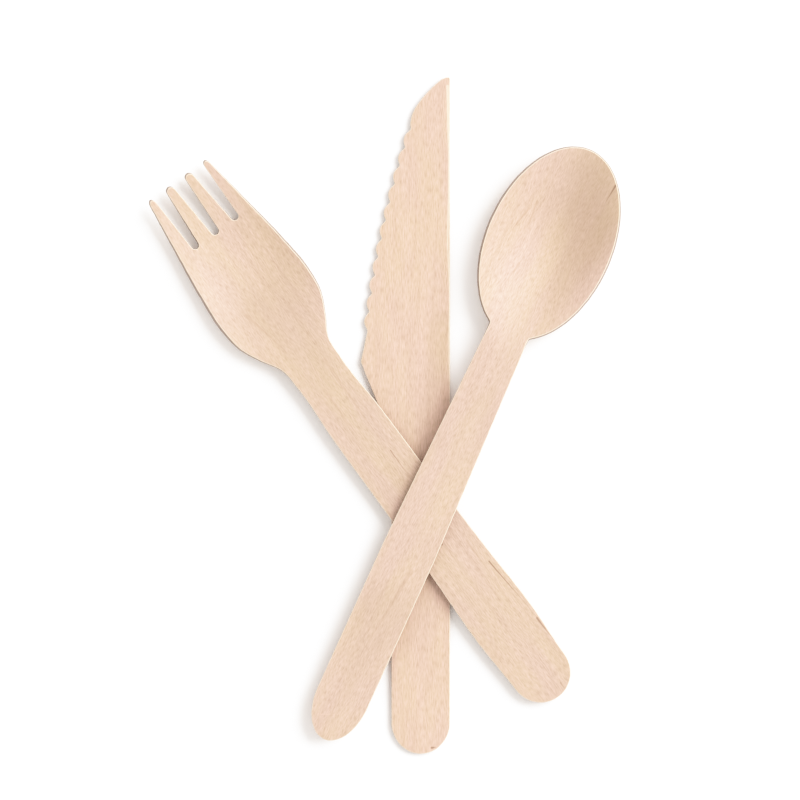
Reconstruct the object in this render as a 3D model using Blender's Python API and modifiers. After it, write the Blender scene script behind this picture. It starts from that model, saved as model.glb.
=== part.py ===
"""Disposable wooden cutlery set: a knife, a fork and a spoon of birch veneer, lying crossed.

Metres, +Z up. The table is the plane z = 0, and the origin lies on it under the middle of the set.
Each utensil is one piece of veneer, punched to its outline. The fork and the spoon are then pressed
hot, which dishes their heads below the level of their handles. The fork's handle lies over the knife
and the spoon's over the fork, with a small clearance where they touch.

Each utensil is drawn in its own frame, with y running from the end of its handle to its tip and
x across, and is then placed by its object's location and rotation.
"""
import bmesh
import bpy
import numpy as np
from mathutils import Vector

MM = 0.001

# Sheet
VENEER = 1.6 * MM
EASED_EDGE = 0.2 * MM
CLEARANCE = 0.3 * MM

# Knife
KNIFE_LENGTH = 165.2 * MM
KNIFE_HANDLE_WIDTH = 14.3 * MM
KNIFE_END_LENGTH = 7.6 * MM
KNIFE_HEEL_WIDTH = 21.7 * MM
KNIFE_HEEL_START = 77.5 * MM
KNIFE_HEEL_APEX = 95.5 * MM
KNIFE_TEETH = 11
KNIFE_TOOTH_DEPTH = 1.05 * MM
KNIFE_TEETH_START = 103.5 * MM
KNIFE_TEETH_END = 152.4 * MM
KNIFE_WIDTH_AT_TEETH_START = 20.1 * MM
KNIFE_WIDTH_AT_TEETH_END = 9.5 * MM
KNIFE_EDGE_BELLY = 1.2 * MM
KNIFE_NOSE_CONTROL = (11.0 * MM, 157.2 * MM)
KNIFE_NOSE_END = (2.0 * MM, 164.9 * MM)
KNIFE_PLACE = Vector((16.0, -82.6, 0.0)) * MM

# Fork
FORK_LENGTH = 156.6 * MM
FORK_END_LENGTH = 7.4 * MM
FORK_STATIONS = np.array((0, 8, 22, 40, 60, 84, 98, 104, 109, 114, 120, 130, 143, 156.6)) * MM
FORK_HALF_WIDTHS = np.array((7.3, 7.4, 8, 7.5, 7.15, 6.95, 6.5, 7.1, 9.95, 12.3, 13.2, 12.6, 10.85, 8.9)) * MM
FORK_HEAD_HALF_WIDTH = 13.2 * MM
FORK_NECK = 98 * MM
FORK_DEEPEST = 126 * MM
FORK_DISH = 2.7 * MM
FORK_TINE_LIFT = 0.75
FORK_RIM_DROP = 0.12
FORK_GAP_DEPTH = 16.3 * MM
FORK_GAP_ROOT = 1.9 * MM
FORK_GAP_MOUTH = 3.6 * MM
FORK_GAP_ROOT_PITCH = 6.2 * MM
FORK_GAP_MOUTH_PITCH = 5.65 * MM
FORK_TIP_RADIUS = 0.85 * MM
FORK_PLACE = Vector((42.51, -68.56, 0.0)) * MM
FORK_TURN = np.radians(36.47)

# Spoon
SPOON_LENGTH = 157.5 * MM
SPOON_END_LENGTH = 11.0 * MM
SPOON_HANDLE_HALF_WIDTH = 6.6 * MM
SPOON_NECK_HALF_WIDTH = 5.2 * MM
SPOON_TAPER_START = 50 * MM
SPOON_TAPER_END = 106 * MM
SPOON_BOWL_HALF_WIDTH = 15.6 * MM
SPOON_BOWL_CENTRE = 132.7 * MM
SPOON_BOWL_BACK = 25.0 * MM
SPOON_DISH = 5.6 * MM
SPOON_RIM_FLATNESS = 0.45
SPOON_RIM_BLEND = 0.6 * MM
SPOON_PLACE = Vector((-14.79, -78.80, 0.0)) * MM
SPOON_TURN = np.radians(-24.42)

# How high the handles' undersides pass over what lies below them, and where along each handle
FORK_OVER_KNIFE = (34.5 * MM, VENEER + CLEARANCE)
SPOON_OVER_FORK = (48.0 * MM, 2 * VENEER + 2 * CLEARANCE + 0.3 * MM)


def smooth_through(stations, values, at):
    """A smooth curve through the given stations: cubic pieces whose slope at each station is the
    mean slope of the stretches beside it."""
    slopes = np.gradient(values, stations)
    index = np.clip(np.searchsorted(stations, at) - 1, 0, len(stations) - 2)
    span = stations[index + 1] - stations[index]
    u = np.clip((at - stations[index]) / span, 0.0, 1.0)
    ends = values[index] * (1 + 2 * u) * (1 - u) ** 2 + values[index + 1] * u ** 2 * (3 - 2 * u)
    bends = span * (slopes[index] * u * (1 - u) ** 2 - slopes[index + 1] * u ** 2 * (1 - u))
    return ends + bends


def ease(low, high, at):
    """0 up to low, 1 from high, and an S-curve between them."""
    u = np.clip((at - low) / (high - low), 0.0, 1.0)
    return u ** 2 * (3 - 2 * u)


def elliptic_end(distance, length):
    """The share of the full width at a distance from the tip of an elliptic end."""
    return np.sqrt(1 - (1 - np.clip(distance / length, 0.0, 1.0)) ** 2)


def underside_level(along, rest, deepest, dish):
    """The height of a handle's flat underside: a straight line through the place where it passes
    over what lies below it, and at its head's deepest place one dish depth above the table."""
    rest_along, rest_height = rest
    return rest_height + (dish - rest_height) * (along - rest_along) / (deepest - rest_along)


def birch(name, colour, roughness):
    """Plain material of one utensil."""
    material = bpy.data.materials.new(name)
    material.use_nodes = True
    shader = material.node_tree.nodes["Principled BSDF"]
    shader.inputs["Base Color"].default_value = (*colour, 1.0)
    shader.inputs["Roughness"].default_value = roughness
    shader.inputs["Metallic"].default_value = 0.0
    return material


def collection_for(name):
    """A new collection in the scene."""
    collection = bpy.data.collections.new(name)
    bpy.context.scene.collection.children.link(collection)
    return collection


def add_bevel(obj):
    """Eases the two edges that run round a utensil's outline."""
    bevel = obj.modifiers.new("eased_edge", "BEVEL")
    bevel.limit_method = "ANGLE"
    bevel.angle_limit = np.radians(70)
    bevel.width = EASED_EDGE
    bevel.segments = 1
    bevel.use_clamp_overlap = True


def flat_outline(name, points, thickness, collection):
    """A filled 2D curve round the points, extruded to a slab centred on its own plane."""
    curve = bpy.data.curves.new(name, "CURVE")
    curve.dimensions = "2D"
    curve.fill_mode = "BOTH"
    curve.extrude = thickness / 2
    spline = curve.splines.new("POLY")
    spline.points.add(len(points) - 1)
    for point, (x, y) in zip(spline.points, points):
        point.co = (x, y, 0.0, 1.0)
    spline.use_cyclic_u = True
    obj = bpy.data.objects.new(name, curve)
    collection.objects.link(obj)
    return obj


def meshed(obj, collection):
    """The curve object as a mesh object with its caps welded on."""
    depsgraph = bpy.context.evaluated_depsgraph_get()
    mesh = bpy.data.meshes.new_from_object(obj.evaluated_get(depsgraph))
    bm = bmesh.new()
    bm.from_mesh(mesh)
    bmesh.ops.remove_doubles(bm, verts=bm.verts, dist=0.01 * MM)
    bm.to_mesh(mesh)
    bm.free()
    solid = bpy.data.objects.new(obj.name + "_solid", mesh)
    solid.matrix_world = obj.matrix_world
    collection.objects.link(solid)
    bpy.data.objects.remove(obj)
    return solid


def pressed_sheet(name, stations, half_width, height, columns, collection):
    """Veneer pressed to shape: a grid whose rows are the stations and whose columns spread over the
    full width there, lifted to the underside's height and thickened upwards."""
    bm = bmesh.new()
    rows = len(stations)
    bmesh.ops.create_grid(bm, x_segments=columns, y_segments=rows - 1, size=1.0)
    for vert in bm.verts:
        row = round((vert.co.y + 1) / 2 * (rows - 1))
        y = stations[row]
        x = vert.co.x * half_width(y)
        vert.co = (x, y, height(x, y))
    mesh = bpy.data.meshes.new(name)
    bm.to_mesh(mesh)
    bm.free()
    mesh.shade_smooth()
    obj = bpy.data.objects.new(name, mesh)
    collection.objects.link(obj)
    sheet = obj.modifiers.new("veneer", "SOLIDIFY")
    sheet.thickness = VENEER
    sheet.offset = 1.0
    sheet.use_even_offset = True
    return obj


def knife_outline():
    """The knife's outline, with the spine on x = 0 and the cutting edge towards -X: a round handle
    end, a slanting heel, a row of rounded teeth along a bellied edge, and a curved nose."""
    half = KNIFE_HANDLE_WIDTH / 2
    turn = np.linspace(0, np.pi, 17)
    points = [(-half + half * np.cos(a), KNIFE_END_LENGTH * (1 - np.sin(a))) for a in turn]

    points.append((-KNIFE_HANDLE_WIDTH, KNIFE_HEEL_START))
    points.append((-KNIFE_HEEL_WIDTH + 0.3 * MM, KNIFE_HEEL_APEX - 1.2 * MM))
    points.append((-KNIFE_HEEL_WIDTH, KNIFE_HEEL_APEX))
    points.append((-KNIFE_HEEL_WIDTH + 0.2 * MM, KNIFE_HEEL_APEX + 1.2 * MM))

    share = np.linspace(0, 1, KNIFE_TEETH + 1)
    along = KNIFE_TEETH_START + (KNIFE_TEETH_END - KNIFE_TEETH_START) * share
    chord = KNIFE_WIDTH_AT_TEETH_START + (KNIFE_WIDTH_AT_TEETH_END - KNIFE_WIDTH_AT_TEETH_START) * share
    width = chord + 4 * KNIFE_EDGE_BELLY * share * (1 - share)
    for tooth in range(KNIFE_TEETH):
        root = Vector((-width[tooth], along[tooth]))
        step = Vector((-width[tooth + 1], along[tooth + 1])) - root
        outward = Vector((-step.y, step.x)).normalized()
        for u in np.linspace(0, 1, 7)[:-1]:
            bulge = KNIFE_TOOTH_DEPTH * 4 * u * (1 - u)
            points.append(tuple(root + step * u + outward * bulge))

    start = Vector((-width[-1], along[-1]))
    control = Vector((-KNIFE_NOSE_CONTROL[0], KNIFE_NOSE_CONTROL[1]))
    end = Vector((-KNIFE_NOSE_END[0], KNIFE_NOSE_END[1]))
    for u in np.linspace(0, 1, 10):
        points.append(tuple(start * (1 - u) ** 2 + control * 2 * u * (1 - u) + end * u ** 2))
    points.append((-0.8 * MM, KNIFE_LENGTH))
    points.append((0.0, KNIFE_LENGTH - 0.6 * MM))
    return points


def build_knife(collection):
    """Flat, and flat on the table."""
    knife = flat_outline("knife", knife_outline(), VENEER, collection)
    knife.location = KNIFE_PLACE + Vector((0, 0, VENEER / 2))
    weld = knife.modifiers.new("caps", "WELD")
    weld.merge_threshold = 0.01 * MM
    add_bevel(knife)
    knife.data.materials.append(birch("birch_knife", (0.80, 0.63, 0.50), 0.75))


def fork_half_width(y):
    """Half of the fork's width: its stations, with the handle's end and the tips rounded."""
    width = smooth_through(FORK_STATIONS, FORK_HALF_WIDTHS, y) * elliptic_end(y, FORK_END_LENGTH)
    return width - FORK_TIP_RADIUS * (1 - elliptic_end(FORK_LENGTH - y, FORK_TIP_RADIUS))


def fork_height(x, y):
    """The fork's underside. The palm sinks from the neck to its deepest place, the tines rise again
    ever more steeply to their tips, and across it is a shallow trough."""
    level = underside_level(y, FORK_OVER_KNIFE, FORK_DEEPEST, FORK_DISH)
    tine = np.clip((y - FORK_DEEPEST) / (FORK_LENGTH - FORK_DEEPEST), 0.0, 1.0)
    along = ease(FORK_NECK, FORK_DEEPEST, y) * (1 - FORK_TINE_LIFT * tine ** 2)
    across = 1 - (1 - FORK_RIM_DROP) * (x / FORK_HEAD_HALF_WIDTH) ** 2
    return level - FORK_DISH * along * across


def fork_gap(index, collection):
    """The cutter for one gap between tines: a slot with a round root that widens towards the tips,
    and flares at its mouth so that the tips are round. index is -1, 0 or 1."""
    root_y = FORK_LENGTH - FORK_GAP_DEPTH + FORK_GAP_ROOT / 2
    mouth_y = FORK_LENGTH - FORK_TIP_RADIUS
    root = index * FORK_GAP_ROOT_PITCH
    mouth = index * FORK_GAP_MOUTH_PITCH
    right = []
    for a in np.linspace(-np.pi / 2, 0, 6)[:-1]:
        right.append((FORK_GAP_ROOT / 2 * np.cos(a), root_y + FORK_GAP_ROOT / 2 * np.sin(a)))
    right.append((FORK_GAP_ROOT / 2, root_y))
    for a in np.linspace(0, np.pi / 2, 5):
        flare = FORK_TIP_RADIUS * (1 - np.cos(a))
        right.append((FORK_GAP_MOUTH / 2 + flare, mouth_y + FORK_TIP_RADIUS * np.sin(a)))
    right.append((FORK_GAP_MOUTH / 2 + FORK_TIP_RADIUS, FORK_LENGTH + 2 * MM))

    def lean(y):
        return root + (mouth - root) * (y - root_y) / (mouth_y - root_y)

    outline = [(lean(y) + x, y) for x, y in right] + [(lean(y) - x, y) for x, y in right[:0:-1]]
    cutter = meshed(flat_outline(f"fork_gap_{index + 2}", outline, 12 * MM, collection), collection)
    cutter.hide_render = True
    cutter.display_type = "WIRE"
    return cutter


def build_fork(collection, cutters):
    """Four tines on a dished palm. Its handle passes over the knife."""
    end = FORK_END_LENGTH * (1 - np.cos(np.linspace(np.radians(10), np.pi / 2, 7)))
    tip = FORK_LENGTH - FORK_TIP_RADIUS * (1 - np.sin(np.linspace(0, np.pi / 2, 4)))
    handle = np.linspace(FORK_END_LENGTH, FORK_NECK, 11)[1:]
    palm = np.linspace(FORK_NECK, FORK_LENGTH - FORK_TIP_RADIUS, 24)[1:-1]
    stations = np.concatenate((end, handle, palm, tip))
    fork = pressed_sheet("fork", stations, fork_half_width, fork_height, 16, collection)
    for index in (-1, 0, 1):
        gap = fork.modifiers.new(f"gap_{index + 2}", "BOOLEAN")
        gap.operation = "DIFFERENCE"
        gap.object = fork_gap(index, cutters)
        gap.object.parent = fork
    add_bevel(fork)
    fork.location = FORK_PLACE
    fork.rotation_euler = (0.0, 0.0, FORK_TURN)
    fork.data.materials.append(birch("birch_fork", (0.79, 0.61, 0.48), 0.75))


def spoon_half_width(y):
    """Half of the spoon's width: the wider of a slightly tapered handle and an oval bowl."""
    bowl = SPOON_BOWL_HALF_WIDTH * np.sqrt(max(0.0, 1 - bowl_lengthwise(y) ** 2))
    if y > SPOON_BOWL_CENTRE:
        return bowl
    taper = np.clip((y - SPOON_TAPER_START) / (SPOON_TAPER_END - SPOON_TAPER_START), 0.0, 1.0)
    handle = SPOON_HANDLE_HALF_WIDTH + (SPOON_NECK_HALF_WIDTH - SPOON_HANDLE_HALF_WIDTH) * taper
    return max(handle * elliptic_end(y, SPOON_END_LENGTH), bowl)


def bowl_lengthwise(y):
    """How far along the bowl y lies, from -1 at its back to 1 at the spoon's tip."""
    front = SPOON_LENGTH - SPOON_BOWL_CENTRE
    return (y - SPOON_BOWL_CENTRE) / (front if y > SPOON_BOWL_CENTRE else SPOON_BOWL_BACK)


def blended(depth):
    """The depth where it is well above 0 and 0 where it is well below, with a soft bend between."""
    return (depth + np.sqrt(depth ** 2 + SPOON_RIM_BLEND ** 2)) / 2


def spoon_height(x, y):
    """The spoon's underside. q is 0 at the middle of the bowl and 1 on its rim. The depth falls off as
    (1 - q)(1 - flatness q), which leaves a gently sloping rim, and blends softly into the handle."""
    q = (x / SPOON_BOWL_HALF_WIDTH) ** 2 + bowl_lengthwise(y) ** 2
    inner = SPOON_DISH * (1 - q) * (1 - SPOON_RIM_FLATNESS * q)
    outer = SPOON_DISH * (1 - q) * (1 - SPOON_RIM_FLATNESS)
    depth = inner if q < 1 else outer
    level = underside_level(y, SPOON_OVER_FORK, SPOON_BOWL_CENTRE, blended(SPOON_DISH))
    return level - blended(depth)


def build_spoon(collection):
    """An oval bowl on a slim handle, which passes over the fork."""
    neck_share = SPOON_NECK_HALF_WIDTH / SPOON_BOWL_HALF_WIDTH
    neck = SPOON_BOWL_CENTRE - SPOON_BOWL_BACK * np.sqrt(1 - neck_share ** 2)
    end = SPOON_END_LENGTH * (1 - np.cos(np.linspace(np.radians(10), np.pi / 2, 8)))
    handle = np.linspace(SPOON_END_LENGTH, neck, 13)[1:]
    back = np.linspace(neck, SPOON_BOWL_CENTRE, 12)[1:]
    front_length = SPOON_LENGTH - SPOON_BOWL_CENTRE
    front = SPOON_BOWL_CENTRE + front_length * np.sin(np.linspace(0, np.radians(86), 15))[1:]
    stations = np.concatenate((end, handle, back, front))
    spoon = pressed_sheet("spoon", stations, spoon_half_width, spoon_height, 14, collection)
    add_bevel(spoon)
    spoon.location = SPOON_PLACE
    spoon.rotation_euler = (0.0, 0.0, SPOON_TURN)
    spoon.data.materials.append(birch("birch_spoon", (0.77, 0.58, 0.44), 0.75))


for stale in list(bpy.data.objects):
    bpy.data.objects.remove(stale)

cutlery = collection_for("wooden_cutlery_set")
build_knife(cutlery)
build_fork(cutlery, collection_for("cutters"))
build_spoon(cutlery)
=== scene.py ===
"""Single-use wooden cutlery set: a birch veneer knife, fork and spoon, lying crossed on a table.

Metres, +Z up. Each utensil is worked out as a flat blank, in its own x across and y from the end
of its handle to its tip, pressed to shape, and then turned and set down where its CAD node lies.
"""

import bpy
import numpy as np
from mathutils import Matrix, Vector


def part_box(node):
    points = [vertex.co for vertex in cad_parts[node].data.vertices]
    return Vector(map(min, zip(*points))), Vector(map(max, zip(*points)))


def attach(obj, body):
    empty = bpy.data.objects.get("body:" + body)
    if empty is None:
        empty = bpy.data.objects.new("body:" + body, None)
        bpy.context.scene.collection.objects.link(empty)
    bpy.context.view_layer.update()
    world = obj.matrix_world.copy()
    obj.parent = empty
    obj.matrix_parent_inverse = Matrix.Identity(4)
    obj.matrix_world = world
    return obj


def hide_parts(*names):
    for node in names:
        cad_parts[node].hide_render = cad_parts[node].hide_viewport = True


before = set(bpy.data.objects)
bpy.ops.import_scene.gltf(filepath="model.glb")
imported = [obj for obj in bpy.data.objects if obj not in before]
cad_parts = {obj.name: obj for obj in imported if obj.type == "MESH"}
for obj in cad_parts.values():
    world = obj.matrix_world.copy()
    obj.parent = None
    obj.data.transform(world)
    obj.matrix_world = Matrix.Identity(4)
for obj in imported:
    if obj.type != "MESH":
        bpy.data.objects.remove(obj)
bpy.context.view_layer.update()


# ---------------------------------------------------------------------------------------------
# Knife. One flat strip of rotary-cut birch, 1.6 mm thick, punched by a steel die and tumbled so
# that its edges are eased. It lies flat under the other two. The cutting edge has eleven shallow
# rounded teeth, a slanting heel, and a nose that curves up to the straight spine.

MM = 0.001
VENEER = 1.6 * MM
EASED_RADIUS = 0.18 * MM
EASED_STEPS = 5
WALL_STEPS = 4
SUPPORT_COLUMN = 0.16 * MM
EDGE_FUZZ = 0.035 * MM
FUZZ_WAVES = 36
FUZZ_SHORTEST = 0.4
FUZZ_LONGEST = 7
TINE_EASE = 0.8 * MM
SLOPE_STEP = 0.02 * MM

KNIFE_LENGTH = 165.2 * MM
KNIFE_HANDLE_WIDTH = 14.3 * MM
KNIFE_END_LENGTH = 7.7 * MM
KNIFE_HEEL_WIDTH = 21.8 * MM
KNIFE_HEEL_FROM = 77.3 * MM
KNIFE_HEEL_TO = 95.6 * MM
KNIFE_TEETH = 11
KNIFE_TOOTH_STEPS = 24
KNIFE_TEETH_FROM = 103.5 * MM
KNIFE_TEETH_TO = 152.4 * MM
KNIFE_WIDTH_AT_FIRST_TOOTH = 20.15 * MM
KNIFE_WIDTH_AT_LAST_TOOTH = 9.5 * MM
KNIFE_EDGE_BELLY = 1.25 * MM
KNIFE_TOOTH_DEPTH = 1.1 * MM
KNIFE_NOSE_BEND = (157.2 * MM, 11.0 * MM)
KNIFE_NOSE_END = (165.0 * MM, 1.8 * MM)
KNIFE_NOSE_STEPS = 40
KNIFE_TIP_WIDTH = 0.5 * MM
KNIFE_TIP_LENGTH = 0.6 * MM
KNIFE_TIP_LEAN = 0.35
KNIFE_CORNER = 0.22 * MM
KNIFE_CORNER_STEPS = 20
KNIFE_LINE_STEP = 0.05 * MM
KNIFE_HANDLE_ROW = 0.7 * MM
KNIFE_BLADE_ROW = 0.26 * MM
KNIFE_BLADE_FROM = KNIFE_HEEL_FROM - 3 * MM


def ease(low, high, at):
    """0 up to low, 1 from high, and an S-curve between them."""
    u = np.clip((at - low) / (high - low), 0, 1)
    return u * u * (3 - 2 * u)


def elliptic_end(distance, length):
    """The share of the full width at a distance from the tip of an elliptic end."""
    return np.sqrt(1 - (1 - np.clip(distance / length, 0, 1)) ** 2)


def end_rows(length, rows, first=0.02):
    """Distances from a round end's tip, whose rows follow its arc in even turns from the first:
    the length times 1 - cosine of the turn."""
    return length * (1 - np.cos(np.linspace(first, np.pi / 2, rows)))


def inward_normals(path):
    """Unit normals to the left of a closed anticlockwise path: its tangent, taken from the point
    before to the point after, given a quarter turn."""
    tangent = np.roll(path, -1, 0) - np.roll(path, 1, 0)
    normal = np.stack((-tangent[:, 1], tangent[:, 0]), 1)
    return normal / np.maximum(np.linalg.norm(normal, axis=1, keepdims=True), 1e-12)


def fuzz(path, seed, size):
    """The unevenness of a punched edge: a sum of sine waves of the distance along the path, with
    random wavelengths and phases. The long waves are the larger ones, as the square root of their
    length."""
    rng = np.random.default_rng(seed)
    along = np.concatenate(((0,), np.cumsum(np.linalg.norm(np.diff(path, axis=0), axis=1))))
    spread = rng.uniform(np.log(FUZZ_SHORTEST), np.log(FUZZ_LONGEST), FUZZ_WAVES)
    wavelength = np.exp(spread) * MM
    phase = rng.uniform(0, 2 * np.pi, FUZZ_WAVES)
    wave = np.sin(2 * np.pi * along[:, None] / wavelength + phase)
    wave = wave * np.sqrt(wavelength / (FUZZ_LONGEST * MM))
    return size * wave.sum(1) / np.sqrt(FUZZ_WAVES)


def blank(y, left, right, split_row, columns):
    """A flat blank as (points, faces, rim, share, index). Row r lies at y[r], and strip s of it
    runs from left[r, s] to right[r, s] in even columns, with one more close to each edge. Up to
    split_row neighbouring strips share their border, and after it each strip is a tine of its
    own. rim lists the outline's points anticlockwise."""
    rows, strips = left.shape
    close = np.minimum(SUPPORT_COLUMN / np.maximum(right - left, 1e-9), 0.1)[..., None]
    inner = close + (1 - 2 * close) * np.linspace(0, 1, columns - 2)
    edge = np.zeros((rows, strips, 1))
    share = np.concatenate((edge, inner, edge + 1), -1)
    x = left[..., None] + (right - left)[..., None] * share
    points = np.stack((x, np.broadcast_to(y[:, None, None], x.shape)), -1)

    index = np.arange(rows * strips * columns).reshape(rows, strips, columns)
    index[:split_row + 1, 1:, 0] = index[:split_row + 1, :-1, -1]
    corners = (index[:-1, :, :-1], index[:-1, :, 1:], index[1:, :, 1:], index[1:, :, :-1])
    faces = np.stack(corners, -1).reshape(-1, 4)

    rim = [index[0].ravel(), index[:, -1, -1]]
    for strip in reversed(range(strips)):
        rim.append(index[-1, strip, ::-1])
        if strip:
            rim.append(index[split_row:, strip, 0][::-1])
            rim.append(index[split_row:, strip - 1, -1])
    rim.append(index[::-1, 0, 0])
    rim = np.concatenate(rim)
    rim = rim[rim != np.roll(rim, 1)]
    return points, faces, rim, share, index


def eased_sheet(sheet, split_row, outline, normal):
    """The blank's flat drawn in by the eased radius: each outline point moves along its normal,
    and the points between move by the mix of the moves at the two edges of their strip. Before
    the tines part, a border between two strips moves by the mix of the outer edges' moves, and by
    a share of the gap's root that dies away exponentially."""
    points, _, rim, share, index = sheet
    shift = np.zeros((points[..., 0].size, 2))
    shift[rim] = outline + EASED_RADIUS * normal - points.reshape(-1, 2)[rim]
    near, far = shift[index[:, :, 0]], shift[index[:, :, -1]]
    if split_row < len(points) - 1:
        y = points[:split_row, 0, 0, 1]
        fade = np.exp((y - points[split_row, 0, 0, 1]) / TINE_EASE)[:, None, None]
        x = points[:split_row, 1:, 0, 0]
        width = points[:split_row, -1:, -1, 0] - points[:split_row, :1, 0, 0]
        across = ((x - points[:split_row, :1, 0, 0]) / width)[..., None]
        border = near[:split_row, :1] * (1 - across) + far[:split_row, -1:] * across
        border = border + near[split_row, 1:] * fade
        near[:split_row, 1:] = border
        far[:split_row, :-1] = border
    moved = points + near[:, :, None] * (1 - share[..., None]) + far[:, :, None] * share[..., None]
    flat = moved.reshape(-1, 2)
    flat[rim] = outline + EASED_RADIUS * normal
    return flat


def pressed(x, y, depth, underside):
    """Where points of the blank go when it is pressed: onto the underside's surface, and from
    there along its normal by their depth in the sheet, which is 0 below and the full thickness
    above."""
    step = SLOPE_STEP
    slope_x = (underside(x + step, y) - underside(x - step, y)) / (2 * step)
    slope_y = (underside(x, y + step) - underside(x, y - step)) / (2 * step)
    lift = depth / np.sqrt(1 + slope_x ** 2 + slope_y ** 2)
    return np.stack((x - slope_x * lift, y - slope_y * lift, underside(x, y) + lift), 1)


def utensil(node, y, left, right, columns, underside, turn, seed, split_row=None):
    """A closed veneer mesh that stands for a CAD node. Its upper and lower sheets are the blank's
    grid, and its rim is a rounded section carried along the outline. The blank's own coordinates
    go into the attribute "blank", in millimetres, for the grain to follow."""
    split_row = len(y) - 1 if split_row is None else split_row
    sheet = blank(y, left, right, split_row, columns)
    points, faces, rim, _, _ = sheet
    outline = points.reshape(-1, 2)[rim]
    normal = inward_normals(outline)
    outline = outline + normal * fuzz(outline, seed, EDGE_FUZZ)[:, None]
    flat = eased_sheet(sheet, split_row, outline, normal)

    turns = np.linspace(0, np.pi / 2, EASED_STEPS)
    inset = EASED_RADIUS * (1 - np.sin(turns))
    depth = VENEER - EASED_RADIUS * (1 - np.cos(turns))
    wall = np.linspace(depth[-1], VENEER - depth[-1], WALL_STEPS)[1:-1]
    inset = np.concatenate((inset, 0 * wall, inset[::-1]))[1:-1]
    depth = np.concatenate((depth, wall, VENEER - depth[::-1]))[1:-1]
    rings = outline[None] + normal[None] * inset[:, None, None]
    ring_depth = np.broadcast_to(depth[:, None], rings.shape[:2])

    count, edge = len(flat), len(rim)
    ring_index = 2 * count + np.arange(len(depth) * edge).reshape(len(depth), edge)
    ladder = np.concatenate((rim[None], ring_index, rim[None] + count))
    step = np.roll(ladder, -1, 1)
    walls = np.stack((ladder[:-1], ladder[1:], step[1:], step[:-1]), -1).reshape(-1, 4)
    all_faces = np.concatenate((faces, faces[:, ::-1] + count, walls))
    xy = np.concatenate((flat, flat, rings.reshape(-1, 2)))
    h = np.concatenate((np.full(count, VENEER), np.zeros(count), ring_depth.ravel()))
    used, all_faces = np.unique(all_faces, return_inverse=True)
    all_faces = all_faces.reshape(-1, 4)
    xy, h = xy[used], h[used]

    solid = pressed(xy[:, 0], xy[:, 1], h, underside)
    c, s = np.cos(turn), np.sin(turn)
    solid[:, :2] = solid[:, :2] @ np.array(((c, s), (-s, c)))
    low, high = (np.array(corner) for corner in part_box(node))
    solid[:, :2] += ((low + high) / 2 - (solid.min(0) + solid.max(0)) / 2)[:2]
    solid[:, 2] += max(low[2], 0) - min(solid[:, 2].min(), 0)

    mesh = bpy.data.meshes.new(node)
    mesh.vertices.add(len(solid))
    mesh.vertices.foreach_set("co", solid.astype(np.float32).ravel())
    mesh.loops.add(all_faces.size)
    mesh.loops.foreach_set("vertex_index", all_faces.astype(np.int32).ravel())
    mesh.polygons.add(len(all_faces))
    mesh.polygons.foreach_set("loop_start", np.arange(0, all_faces.size, 4, dtype=np.int32))
    mesh.polygons.foreach_set("use_smooth", np.ones(len(all_faces), bool))
    grain = mesh.attributes.new("blank", "FLOAT_VECTOR", "POINT")
    grain.data.foreach_set("vector", (np.column_stack((xy, h)) / MM).astype(np.float32).ravel())
    mesh.update()
    mesh.validate()
    obj = bpy.data.objects.new(node + "_veneer", mesh)
    bpy.context.scene.collection.objects.link(obj)
    return obj


def knife_widths(y):
    """The distance from the spine to the cutting side: the handle, a straight slant out to the
    heel, a row of parabolic teeth along a bellied line, and the nose, a parabola from the last
    tooth to the tip that is drawn towards a bend point. The whole line is then averaged over a
    short length, which rounds its corners."""
    share = np.linspace(0, 1, KNIFE_TEETH * KNIFE_TOOTH_STEPS + 1)
    within = share * KNIFE_TEETH % 1
    bulge = KNIFE_TOOTH_DEPTH * 4 * within * (1 - within)
    across = KNIFE_WIDTH_AT_LAST_TOOTH - KNIFE_WIDTH_AT_FIRST_TOOTH
    along = KNIFE_TEETH_TO - KNIFE_TEETH_FROM
    chord = KNIFE_WIDTH_AT_FIRST_TOOTH + across * share
    chord = chord + 4 * KNIFE_EDGE_BELLY * share * (1 - share)
    lean = (across + 4 * KNIFE_EDGE_BELLY * (1 - 2 * share)) / along
    teeth_y = KNIFE_TEETH_FROM + along * share - bulge * lean / np.sqrt(1 + lean ** 2)
    teeth = chord + bulge / np.sqrt(1 + lean ** 2)
    u = np.linspace(0, 1, KNIFE_NOSE_STEPS)[1:]
    bend_y, bend = KNIFE_NOSE_BEND
    end_y, end = KNIFE_NOSE_END
    nose_y = KNIFE_TEETH_TO * (1 - u) ** 2 + bend_y * 2 * u * (1 - u) + end_y * u ** 2
    nose = KNIFE_WIDTH_AT_LAST_TOOTH * (1 - u) ** 2 + bend * 2 * u * (1 - u) + end * u ** 2
    handle_y, handle = (0, KNIFE_HEEL_FROM), (KNIFE_HANDLE_WIDTH, KNIFE_HANDLE_WIDTH)
    line_y = np.concatenate((handle_y, (KNIFE_HEEL_TO,), teeth_y, nose_y, (KNIFE_LENGTH,)))
    line = np.concatenate((handle, (KNIFE_HEEL_WIDTH,), teeth, nose, (KNIFE_TIP_WIDTH,)))
    fine = np.arange(-2 * MM, KNIFE_LENGTH + 2 * MM, KNIFE_LINE_STEP)
    steps = np.arange(-KNIFE_CORNER_STEPS, KNIFE_CORNER_STEPS + 1)
    kernel = np.exp(-0.5 * (steps * KNIFE_LINE_STEP / KNIFE_CORNER) ** 2)
    rounded = np.convolve(np.interp(fine, line_y, line), kernel / kernel.sum(), "same")
    return np.interp(y, fine, rounded)


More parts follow.
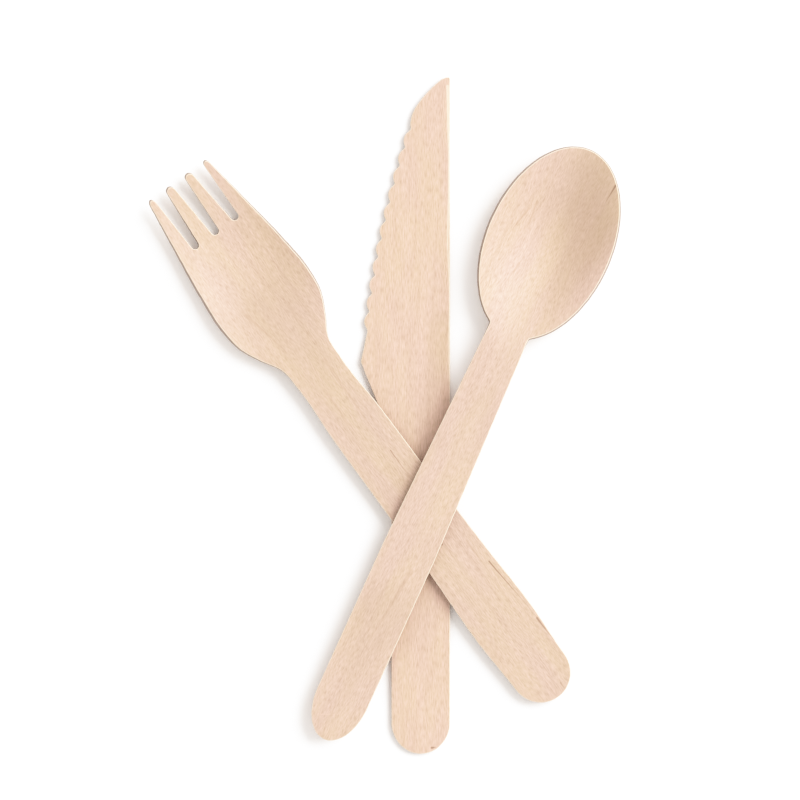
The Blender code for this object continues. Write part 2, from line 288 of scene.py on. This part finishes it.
class Wire:
    """A socket in a finish. Arithmetic on it adds Math nodes, and node() adds any other node."""

    def __init__(self, socket):
        self.socket = socket

    def node(self, kind, settings, values, out=0):
        """A node of this kind: its settings first, then the values or links of its sockets."""
        made = self.socket.id_data.nodes.new("ShaderNode" + kind)
        for name, setting in settings.items():
            setattr(made, name, setting)
        for name, value in values.items():
            if isinstance(value, Wire):
                made.id_data.links.new(value.socket, made.inputs[name])
            else:
                made.inputs[name].default_value = value
        return Wire(made.outputs[out])

    def math(self, operation, *terms):
        return self.node("Math", {"operation": operation}, dict(enumerate(terms)))

    def __add__(self, other):
        return self.math("ADD", self, other)

    def __sub__(self, other):
        return self.math("SUBTRACT", self, other)

    def __rsub__(self, other):
        return self.math("SUBTRACT", other, self)

    def __mul__(self, other):
        return self.math("MULTIPLY", self, other)

    __radd__ = __add__
    __rmul__ = __mul__

    def rise(self, low, high):
        """0 up to low, 1 from high, and an S-curve between them."""
        return self.node("MapRange", {"interpolation_type": "SMOOTHSTEP"},
                         {"Value": self, "From Min": low, "From Max": high})

    def band(self, rising, falling):
        """1 between a rising and a falling S-curve, and 0 outside them."""
        return self.rise(*rising) * (1 - self.rise(*falling))

    def over(self, below, colour):
        """The colour, laid over the one below in this share."""
        return self.node("Mix", {"data_type": "RGBA"}, {0: self, 6: below, 7: colour}, out=2)


PALE_BIRCH = (0.592, 0.391, 0.320, 1)
PINK_BIRCH = (0.488, 0.326, 0.266, 1)
YELLOW_BIRCH = (0.509, 0.351, 0.253, 1)
LATE_WOOD = (0.294, 0.191, 0.133, 1)
PORE = (0.179, 0.114, 0.073, 1)
# A darker brown for broad strokes, most of them painted shade; one also darkens the spoon's handle
# end.
DARK_PATCH_AND_SHADE = (0.293, 0.213, 0.136, 1)
# The cut walls' colour: partly the die-cut edge's own darker tone, partly painted shade.
CUT_WALL_AND_SHADE = (0.120, 0.108, 0.102, 1)
# A pale colour painted on as a highlight: on the eased top edge, and along the knife's right edge.
EDGE_HIGHLIGHT = (0.750, 0.650, 0.520, 1)

# Cells across, along and through the sheet, and depths in it from the underside, in millimetres.
WAVER_CELL = (9.0, 26.0, 9.0)
WAVER = 0.35
PATCH_CELL = (6.0, 20.0, 6.0)
GROWTH_CELL = (10.0, 110.0, 10.0)
GROWTH_LINES = 21.0
STREAK_CELL = (0.9, 26.0, 1.2)
FIBRE_ACROSS, FIBRE_DEEP = 0.26, 0.4
PORE_ACROSS, PORE_DEEP = 0.20, 0.25
UPPER_FACE = (0.8, 1.3)
WALL_BAND = ((0.02, 0.15), (1.44, 1.53))
EDGE_HIGHLIGHT_BAND = ((1.48, 1.56), (1.588, 1.6))
BUMP_HEIGHT = 0.04 * MM

# How much of each colour is laid over the one before, at the most.
PALE_STREAKS = 0.5
LATE_LINES = 0.10
LATE_STREAKS = 0.22
LATE_FIBRES = 0.54
PORES = 0.20
WALLS = 0.7
EDGE_HIGHLIGHTS = 0.8

MATT = 0.52


def cloud(place, cell, shift, detail=2.0):
    """Noise from about -1 to 1, in cells of this size in millimetres across, along and through the
    sheet. The shift sets one sheet's noise apart from another's."""
    cells = place.node("VectorMath", {"operation": "MULTIPLY_ADD"},
                       {0: place, 1: tuple(1 / length for length in cell), 2: shift})
    noise = place.node("TexNoise", {}, {"Vector": cells, "Scale": 1.0, "Detail": detail})
    return (noise - 0.5) * 4


def stroke(across, along, start, end, width):
    """1 on the straight line from start to end, falling to 0 at half its width: the distance to
    the nearest point of the line, found by its share along the line held between the two ends.
    The distance counts for more towards the end, so that the line thins out there and fades."""
    run = np.subtract(end, start)
    length = float(np.hypot(*run))
    ux, uy = (float(part) for part in run / length)
    from_x, from_y = across - start[0], along - start[1]
    share = (from_x * ux + from_y * uy).math("MAXIMUM", from_x * ux + from_y * uy, 0.0)
    share = share.math("MINIMUM", share, length)
    off_x, off_y = from_x - share * ux, from_y - share * uy
    gap = share.math("SQRT", off_x * off_x + off_y * off_y) + share * (0.4 * width / length)
    return 1 - gap.rise(0.15 * width, 0.5 * width)


def birch(name, shift, tint, fibre_length, marks):
    """Rotary-cut birch. It is mixed in steps from solid noise drawn out along the grain: broad
    pink and yellow patches, growth lines where the sine of a slow noise is high, long streaks,
    short fibres and fine open pores. The result is multiplied by this sheet's own tint, for no
    two are alike. The marks are strokes of another colour on the upper face, some of them
    painted shade and painted highlights. The cut walls are darker and greyer, partly their own
    tone and partly painted shade, and the eased edge above them is painted pale as a highlight.
    Fibres and streaks also lift the surface, and pores sink it."""
    material = bpy.data.materials.new(name)
    material.use_nodes = True
    shader = material.node_tree.nodes["Principled BSDF"]
    start = Wire(shader.outputs[0])
    blank_place = start.node("Attribute", {"attribute_name": "blank"}, {}, out=1)
    waver = cloud(blank_place, WAVER_CELL, shift, 1.0) * WAVER
    lean = start.node("CombineXYZ", {}, {"X": waver})
    place = start.node("VectorMath", {"operation": "ADD"}, {0: blank_place, 1: lean})
    parts = place.node("SeparateXYZ", {}, {0: place})
    across = parts
    along = Wire(parts.socket.node.outputs[1])
    depth = Wire(parts.socket.node.outputs[2])

    patch = cloud(place, PATCH_CELL, shift)
    growth = cloud(place, GROWTH_CELL, shift, 1.0)
    lines = growth.math("SINE", growth * GROWTH_LINES)
    streak = cloud(place, STREAK_CELL, shift)
    fibre = cloud(place, (FIBRE_ACROSS, fibre_length, FIBRE_DEEP), shift, 3.0)
    pore_shift = (shift[1], shift[2], shift[0])
    pore = cloud(place, (PORE_ACROSS, fibre_length, PORE_DEEP), pore_shift, 1.0).rise(0.5, 1.1)

    wood = patch.rise(-0.9, 0.9).over(PINK_BIRCH, YELLOW_BIRCH)
    pale = streak.rise(0.1, 1.3) * PALE_STREAKS + fibre.rise(-0.2, 1.1)
    wood = pale.over(wood, PALE_BIRCH)
    late = lines.rise(0.2, 1.0) * LATE_LINES + (0 - streak).rise(0.1, 1.4) * LATE_STREAKS
    late = late + (0 - fibre).rise(-0.1, 1.1) * LATE_FIBRES
    wood = late.over(wood, LATE_WOOD)
    wood = (pore * PORES).over(wood, PORE)
    wood = wood.node("VectorMath", {"operation": "MULTIPLY"}, {0: wood, 1: tint})

    upper = depth.rise(*UPPER_FACE)
    for begin, end, width, strength, colour in marks:
        wood = (stroke(across, along, begin, end, width) * upper * strength).over(wood, colour)
    # Cut walls darker and greyer: partly their own tone, partly painted shade.
    wood = (depth.band(*WALL_BAND) * WALLS).over(wood, CUT_WALL_AND_SHADE)
    # Painted highlight along the eased top edge.
    wood = (depth.band(*EDGE_HIGHLIGHT_BAND) * EDGE_HIGHLIGHTS).over(wood, EDGE_HIGHLIGHT)
    height = fibre * 0.35 + streak * 0.3 - pore * 0.8
    bump = start.node("Bump", {}, {"Strength": 0.5, "Distance": BUMP_HEIGHT, "Height": height})
    roughness = MATT - fibre * 0.05
    for value, socket in ((wood, "Base Color"), (bump, "Normal"), (roughness, "Roughness")):
        material.node_tree.links.new(value.socket, shader.inputs[socket])
    shader.inputs["Specular IOR Level"].default_value = 0.35
    return material


# Each mark is given by where it starts and ends on the blank and how wide it is, in millimetres,
# and then by its strength and colour.
KNIFE_TINT = (0.975, 0.99, 1.01)
KNIFE_FIBRE = 1.9
KNIFE_MARKS = (
    ((-4.6, 1.5), (-3.4, 1.7), 0.9, 0.85, PORE),
    ((-14.4, 8.0), (-14.4, 25.0), 0.7, 0.55, PORE),
    # Painted shadow of the spoon, which overhangs the knife near its right edge.
    ((-1.5, 104.0), (-8.0, 70.0), 11.0, 0.24, DARK_PATCH_AND_SHADE),
    # Painted shade where the fork and the spoon cross over the handle.
    ((-8.0, 58.0), (-7.0, 36.0), 16.0, 0.2, DARK_PATCH_AND_SHADE),
    # A pale line just inside the knife's right edge: painted highlight.
    ((-0.3, 163.0), (-0.3, 60.0), 0.9, 0.5, EDGE_HIGHLIGHT))

knife_rows = np.concatenate((
    end_rows(KNIFE_END_LENGTH, rows=26),
    np.arange(KNIFE_END_LENGTH + KNIFE_HANDLE_ROW, KNIFE_BLADE_FROM, KNIFE_HANDLE_ROW),
    np.arange(KNIFE_BLADE_FROM, KNIFE_LENGTH - KNIFE_TIP_LENGTH, KNIFE_BLADE_ROW),
    KNIFE_LENGTH - end_rows(KNIFE_TIP_LENGTH, rows=5, first=0.3)[::-1]))
knife_width = knife_widths(knife_rows)
knife_round = elliptic_end(knife_rows, KNIFE_END_LENGTH)
knife_tip = KNIFE_TIP_LENGTH * (1 - elliptic_end(KNIFE_LENGTH - knife_rows, KNIFE_TIP_LENGTH))
knife_half = KNIFE_HANDLE_WIDTH / 2
knife_left = -knife_half - (knife_width - knife_half) * knife_round
knife_right = -knife_half + knife_half * knife_round - KNIFE_TIP_LEAN * knife_tip
knife = utensil("knife", knife_rows, knife_left[:, None], knife_right[:, None], columns=44,
                underside=lambda x, y: 0 * x, turn=0.0, seed=11)
knife.data.materials.append(
    birch("birch_knife", (0.0, 0.0, 0.0), KNIFE_TINT, KNIFE_FIBRE, KNIFE_MARKS))
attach(knife, "root")
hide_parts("knife")


# ---------------------------------------------------------------------------------------------
# Fork. The same veneer, punched with four tines and then pressed hot between moulds, so that the
# palm is a shallow trough and the tines lift a little. Its handle lies over the knife.

FORK_LENGTH = 156.6 * MM
FORK_END_LENGTH = 7.4 * MM
FORK_STATIONS = np.array((0, 8, 22, 40, 60, 84, 98, 104, 109, 114, 120, 130, 143, 156.6)) * MM
FORK_HALF_WIDTHS = np.array((7.3, 7.4, 8, 7.5, 7.15, 6.95, 6.5, 7.1, 9.95, 12.3, 13.2, 12.6,
                             10.85, 8.9)) * MM
FORK_PALM_HALF = 13.2 * MM
FORK_NECK = 98 * MM
FORK_DEEPEST = 126 * MM
FORK_DISH = 2.7 * MM
FORK_RIM_DROP = 0.12
FORK_TINE_LIFT = 0.75
FORK_TWIST = 0.07
FORK_TWISTED_FROM = 70 * MM
FORK_GAP_DEPTH = 16.3 * MM
FORK_ROOT = FORK_LENGTH - FORK_GAP_DEPTH
FORK_STRIPS_LENGTH = 25 * MM
FORK_GAP_ROOT = 1.9 * MM
FORK_GAP_MOUTH = 3.6 * MM
FORK_ROOT_PITCH = 6.2 * MM
FORK_MOUTH_PITCH = 5.65 * MM
FORK_TIP_LENGTH = 1.1 * MM
FORK_TIP_CURL = (7 * MM, 0.8 * MM)
FORK_TURN = np.radians(36.47)
FORK_OVER_KNIFE = (34.5 * MM, 1.9 * MM)
FORK_HANDLE_ROW = 0.6 * MM
FORK_PALM_ROW = 0.4 * MM
FORK_TINE_ROW = 0.3 * MM


def smooth_through(stations, values, at):
    """A smooth curve through the given stations: cubic pieces whose slope at each station is the
    mean slope of the stretches beside it, where the shorter stretch counts for more."""
    slopes = np.gradient(values, stations)
    index = np.clip(np.searchsorted(stations, at) - 1, 0, len(stations) - 2)
    span = stations[index + 1] - stations[index]
    u = np.clip((at - stations[index]) / span, 0, 1)
    ends = values[index] * (1 + 2 * u) * (1 - u) ** 2 + values[index + 1] * u ** 2 * (3 - 2 * u)
    return ends + span * (slopes[index] * u * (1 - u) ** 2 - slopes[index + 1] * u ** 2 * (1 - u))


def level(y, over, deepest, dish):
    """The height of a handle's flat underside: a straight line through the place where it passes
    over what is below, and one dish depth above the table where its head is deepest."""
    return over[1] + (dish - over[1]) * (y - over[0]) / (deepest - over[0])


def fork_underside(x, y):
    """The palm sinks from the neck to its deepest place in an S-curve, and the tines rise again as
    the square of the way to their tips, where they curl up a little more. Across it is a shallow
    parabolic trough, and the head has warped, so that its left side is up."""
    tine = np.clip((y - FORK_DEEPEST) / (FORK_LENGTH - FORK_DEEPEST), 0, 1)
    along = ease(FORK_NECK, FORK_DEEPEST, y) * (1 - FORK_TINE_LIFT * tine ** 2)
    across = 1 - (1 - FORK_RIM_DROP) * (x / FORK_PALM_HALF) ** 2
    curl = FORK_TIP_CURL[1] * np.maximum(1 - (FORK_LENGTH - y) / FORK_TIP_CURL[0], 0) ** 2
    twist = FORK_TWIST * x * ease(FORK_TWISTED_FROM, FORK_DEEPEST, y)
    flat = level(y, FORK_OVER_KNIFE, FORK_DEEPEST, FORK_DISH)
    return flat - FORK_DISH * along * across + curl - twist


def fork_edges(y):
    """The left and right edges of the four tines, and of the strips that lead to them. Each gap
    has a round root and opens evenly towards the tips, and the tips are elliptic."""
    half = smooth_through(FORK_STATIONS, FORK_HALF_WIDTHS, y) * elliptic_end(y, FORK_END_LENGTH)
    opened = np.clip((y - FORK_ROOT) / FORK_GAP_DEPTH, 0, 1)
    gap = FORK_GAP_ROOT + (FORK_GAP_MOUTH - FORK_GAP_ROOT) * opened
    gap = gap / 2 * elliptic_end(y - FORK_ROOT, FORK_GAP_ROOT / 2)
    pitch = FORK_ROOT_PITCH + (FORK_MOUTH_PITCH - FORK_ROOT_PITCH) * opened
    below = ease(FORK_ROOT, FORK_ROOT - FORK_STRIPS_LENGTH, y)
    pitch = pitch * (1 - below) + half / 2 * below
    borders = np.stack((-pitch, 0 * pitch, pitch), 1)
    left = np.column_stack((-half[:, None], borders + gap[:, None]))
    right = np.column_stack((borders - gap[:, None], half))
    tip = elliptic_end(FORK_LENGTH - y, FORK_TIP_LENGTH)[:, None]
    middle = (left + right) / 2
    return middle + (left - middle) * tip, middle + (right - middle) * tip


FORK_TINT = (0.905, 0.94, 0.955)
FORK_FIBRE = 1.5
FORK_MARKS = (
    # Broad darker stroke over the neck and the palm: painted shade.
    ((-1.0, 118.0), (1.0, 60.0), 30.0, 0.17, DARK_PATCH_AND_SHADE),
    ((-6.4, 120.0), (-3.0, 104.0), 1.2, 0.35, LATE_WOOD),
    ((2.9, 100.0), (2.2, 66.0), 1.3, 0.28, LATE_WOOD),
    ((-1.3, 93.0), (-1.6, 72.0), 1.0, 0.22, LATE_WOOD),
    ((4.4, 44.0), (5.0, 30.0), 0.9, 0.25, LATE_WOOD),
    # Painted shade on the palm's low part by the neck, whose slope faces away from the light.
    ((-3.0, 119.0), (-1.0, 102.0), 14.0, 0.18, DARK_PATCH_AND_SHADE),
    ((-0.7, 46.8), (-0.3, 46.8), 0.8, 0.9, PORE),
    ((2.8, 72.7), (2.35, 62.0), 0.40, 0.75, PORE),
    ((6.2, 36.7), (7.4, 19.0), 0.5, 0.85, PORE),
    ((7.4, 18.6), (7.6, 11.4), 0.8, 0.75, PORE),
    ((2.3, 2.5), (2.4, 0.3), 0.6, 0.5, PORE))

fork_tines_from = FORK_ROOT + FORK_GAP_ROOT / 2 + FORK_TINE_ROW
fork_rows = np.concatenate((
    end_rows(FORK_END_LENGTH, rows=26),
    np.arange(FORK_END_LENGTH + FORK_HANDLE_ROW, FORK_NECK, FORK_HANDLE_ROW),
    np.arange(FORK_NECK, FORK_ROOT - FORK_TINE_ROW, FORK_PALM_ROW),
    FORK_ROOT + end_rows(FORK_GAP_ROOT / 2, rows=9, first=0),
    np.arange(fork_tines_from, FORK_LENGTH - FORK_TIP_LENGTH, FORK_TINE_ROW),
    FORK_LENGTH - end_rows(FORK_TIP_LENGTH, rows=9, first=0.1)[::-1]))
fork_left, fork_right = fork_edges(fork_rows)
fork = utensil("fork", fork_rows, fork_left, fork_right, columns=14, underside=fork_underside,
               turn=FORK_TURN, seed=23,
               split_row=int(np.searchsorted(fork_rows, FORK_ROOT - 0.01 * MM)))
fork.data.materials.append(
    birch("birch_fork", (31.0, 7.0, 12.0), FORK_TINT, FORK_FIBRE, FORK_MARKS))
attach(fork, "root")
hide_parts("fork")


# ---------------------------------------------------------------------------------------------
# Spoon. Punched from the same veneer and pressed to an oval bowl, whose rim stays gently sloped.
# Its handle lies on top, over the fork and the knife.

SPOON_LENGTH = 157.5 * MM
SPOON_END_LENGTH = 11.0 * MM
SPOON_HANDLE_HALF = 6.6 * MM
SPOON_NECK_HALF = 5.2 * MM
SPOON_TAPER = (50 * MM, 106 * MM)
SPOON_BOWL_HALF = 15.6 * MM
SPOON_BOWL_MIDDLE = 132.7 * MM
SPOON_BOWL_BACK = 25.0 * MM
SPOON_NECK_FILLET = 0.5 * MM
SPOON_FILLET_GROWS = (20 * MM, 40 * MM)
SPOON_DISH = 5.2 * MM
SPOON_RIM_SINK = 0.45 * MM
SPOON_RIM_FLATNESS = 0.45
SPOON_RIM_BLEND = 0.4 * MM
SPOON_TWIST = 0.03
SPOON_TWISTED_FROM = 85 * MM
SPOON_TURN = np.radians(-24.42)
SPOON_OVER_FORK = (48.0 * MM, 4.1 * MM)
SPOON_HANDLE_ROW = 0.6 * MM
SPOON_NECK_ROW = 0.2 * MM
SPOON_BOWL_ROW = 0.5 * MM


def bowl_share(y):
    """How far along the bowl y lies, from -1 at its back to 1 at the tip."""
    front = SPOON_LENGTH - SPOON_BOWL_MIDDLE
    return (y - SPOON_BOWL_MIDDLE) / np.where(y > SPOON_BOWL_MIDDLE, front, SPOON_BOWL_BACK)


def blended(depth):
    """The depth where it is well above 0, 0 where it is well below, and a soft bend between: half
    of the depth plus the root of its square and the blend's."""
    return (depth + np.sqrt(depth ** 2 + SPOON_RIM_BLEND ** 2)) / 2


def spoon_underside(x, y):
    """q is 0 in the middle of the bowl and 1 on its rim. The depth falls off as 1 - q times
    1 - flatness q, to a rim that is sunk a little, and bends softly into the handle. The bowl has
    warped slightly, so that its left side is up."""
    q = (x / SPOON_BOWL_HALF) ** 2 + bowl_share(y) ** 2
    depth = SPOON_RIM_SINK + SPOON_DISH * (1 - q) * (1 - SPOON_RIM_FLATNESS * np.minimum(q, 1))
    deepest = blended(SPOON_RIM_SINK + SPOON_DISH)
    flat = level(y, SPOON_OVER_FORK, SPOON_BOWL_MIDDLE, deepest)
    return flat - blended(depth) - SPOON_TWIST * x * ease(SPOON_TWISTED_FROM, SPOON_BOWL_MIDDLE, y)


def spoon_half(y):
    """Half of the spoon's width: the wider of a slightly tapered handle and an elliptic bowl, with
    a small fillet where they meet."""
    taper = np.clip((y - SPOON_TAPER[0]) / (SPOON_TAPER[1] - SPOON_TAPER[0]), 0, 1)
    handle = SPOON_HANDLE_HALF + (SPOON_NECK_HALF - SPOON_HANDLE_HALF) * taper
    handle = handle * elliptic_end(y, SPOON_END_LENGTH)
    bowl = SPOON_BOWL_HALF * np.sqrt(np.maximum(1 - bowl_share(y) ** 2, 0))
    fillet = SPOON_NECK_FILLET * ease(*SPOON_FILLET_GROWS, y)
    wider = (handle + bowl + np.sqrt((handle - bowl) ** 2 + fillet ** 2)) / 2
    return np.where(y > SPOON_BOWL_MIDDLE, bowl, wider)


SPOON_TINT = (0.935, 0.97, 1.0)
SPOON_FIBRE = 1.4
SPOON_MARKS = (
    # These three strokes are painted shade over the bowl, darkest on its right side, which faces
    # away from the light.
    ((6.5, 152.0), (7.5, 112.0), 28.0, 0.36, DARK_PATCH_AND_SHADE),
    ((-2.0, 142.0), (0.0, 122.0), 16.0, 0.16, DARK_PATCH_AND_SHADE),
    ((13.0, 143.0), (9.5, 118.0), 11.0, 0.2, DARK_PATCH_AND_SHADE),
    ((0.0, 34.0), (0.0, 6.0), 22.0, 0.2, DARK_PATCH_AND_SHADE),
    ((-8.8, 138.5), (-11.4, 127.5), 0.8, 0.42, LATE_WOOD),
    ((-7.6, 141.0), (-7.0, 128.0), 0.7, 0.36, LATE_WOOD),
    ((-5.2, 125.0), (-7.0, 115.0), 0.8, 0.36, LATE_WOOD),
    ((2.4, 46.0), (-0.8, 20.0), 1.5, 0.25, LATE_WOOD),
    ((9.3, 152.2), (8.9, 146.6), 0.8, 0.85, PORE),
    ((-3.4, 5.2), (4.4, 8.7), 0.4, 0.4, PALE_BIRCH))

spoon_fine_from = SPOON_BOWL_MIDDLE - SPOON_BOWL_BACK - 1 * MM
spoon_fine_to = SPOON_BOWL_MIDDLE - SPOON_BOWL_BACK + 6 * MM
spoon_rows = np.concatenate((
    end_rows(SPOON_END_LENGTH, rows=34),
    np.arange(SPOON_END_LENGTH + SPOON_HANDLE_ROW, spoon_fine_from, SPOON_HANDLE_ROW),
    np.arange(spoon_fine_from, spoon_fine_to - SPOON_NECK_ROW / 2, SPOON_NECK_ROW),
    np.arange(spoon_fine_to, SPOON_BOWL_MIDDLE, SPOON_BOWL_ROW),
    SPOON_LENGTH - end_rows(SPOON_LENGTH - SPOON_BOWL_MIDDLE, rows=90, first=0.012)[::-1]))
spoon_right = spoon_half(spoon_rows)[:, None]
spoon = utensil("spoon", spoon_rows, -spoon_right, spoon_right, columns=56,
                underside=spoon_underside, turn=SPOON_TURN, seed=37)
spoon.data.materials.append(
    birch("birch_spoon", (77.0, 43.0, 5.0), SPOON_TINT, SPOON_FIBRE, SPOON_MARKS))
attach(spoon, "root")
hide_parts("spoon")


# ---------------------------------------------------------------------------------------------
# Table, light and camera. A matt white table, one large soft light from the upper right, white
# surroundings that fill the shadows, and a camera straight above.

TABLE_SIZE = 8
TABLE_WHITE = (0.92, 0.92, 0.92, 1)
KEY_PLACE = (2.05, 1.05, 2.0)
KEY_SIZE = 2.4
KEY_POWER = 205.0
SURROUNDINGS = 1.5
CAMERA_PLACE = (3.79 * MM, 3.79 * MM, 1.2)
CAMERA_SENSOR = 36
VIEW_WIDTH = 0.19552
GREEN_WARMTH = 0.12
BLUE_WARMTH = 0.22

bpy.ops.mesh.primitive_plane_add(size=TABLE_SIZE)
table = bpy.context.object
table.name = "table"
table_finish = bpy.data.materials.new("matt_white")
table_finish.use_nodes = True
table_shader = table_finish.node_tree.nodes["Principled BSDF"]
table_shader.inputs["Base Color"].default_value = TABLE_WHITE
table_shader.inputs["Roughness"].default_value = 0.9
table_shader.inputs["Specular IOR Level"].default_value = 0.1
table.data.materials.append(table_finish)


def soft_light(name, place, size, power):
    """A square area light that faces the middle of the set."""
    light = bpy.data.lights.new(name, "AREA")
    light.size = size
    light.energy = power
    lamp = bpy.data.objects.new(name, light)
    lamp.location = place
    lamp.rotation_euler = (-Vector(place)).to_track_quat("-Z", "Y").to_euler()
    bpy.context.scene.collection.objects.link(lamp)


soft_light("key", KEY_PLACE, KEY_SIZE, KEY_POWER)

world = bpy.data.worlds.new("studio")
bpy.context.scene.world = world
world.use_nodes = True
world.node_tree.nodes["Background"].inputs["Color"].default_value = (1, 1, 1, 1)
world.node_tree.nodes["Background"].inputs["Strength"].default_value = SURROUNDINGS

camera = bpy.data.cameras.new("camera")
camera.sensor_width = CAMERA_SENSOR
camera.lens = CAMERA_SENSOR * CAMERA_PLACE[2] / VIEW_WIDTH
view = bpy.data.objects.new("camera", camera)
view.location = CAMERA_PLACE
bpy.context.scene.collection.objects.link(view)
bpy.context.scene.camera = view

# Bright parts are rolled off as on film: y = 2u - u^2, where u is 1 at twice white. Green and blue
# are then lowered a little between black and white, by y times 1 - warmth (1 - y).
tone = bpy.context.scene.view_settings
tone.view_transform = "Standard"
tone.use_curve_mapping = True
tone.curve_mapping.white_level = (2, 2, 2)
roll_off = tone.curve_mapping.curves[3].points
for u in (0.25, 0.5, 0.75):
    roll_off.new(u, 2 * u - u * u)
for channel, warmth in ((1, GREEN_WARMTH), (2, BLUE_WARMTH)):
    for y in (0.25, 0.5, 0.75):
        tone.curve_mapping.curves[channel].points.new(y, y * (1 - warmth * (1 - y)))
tone.curve_mapping.update()
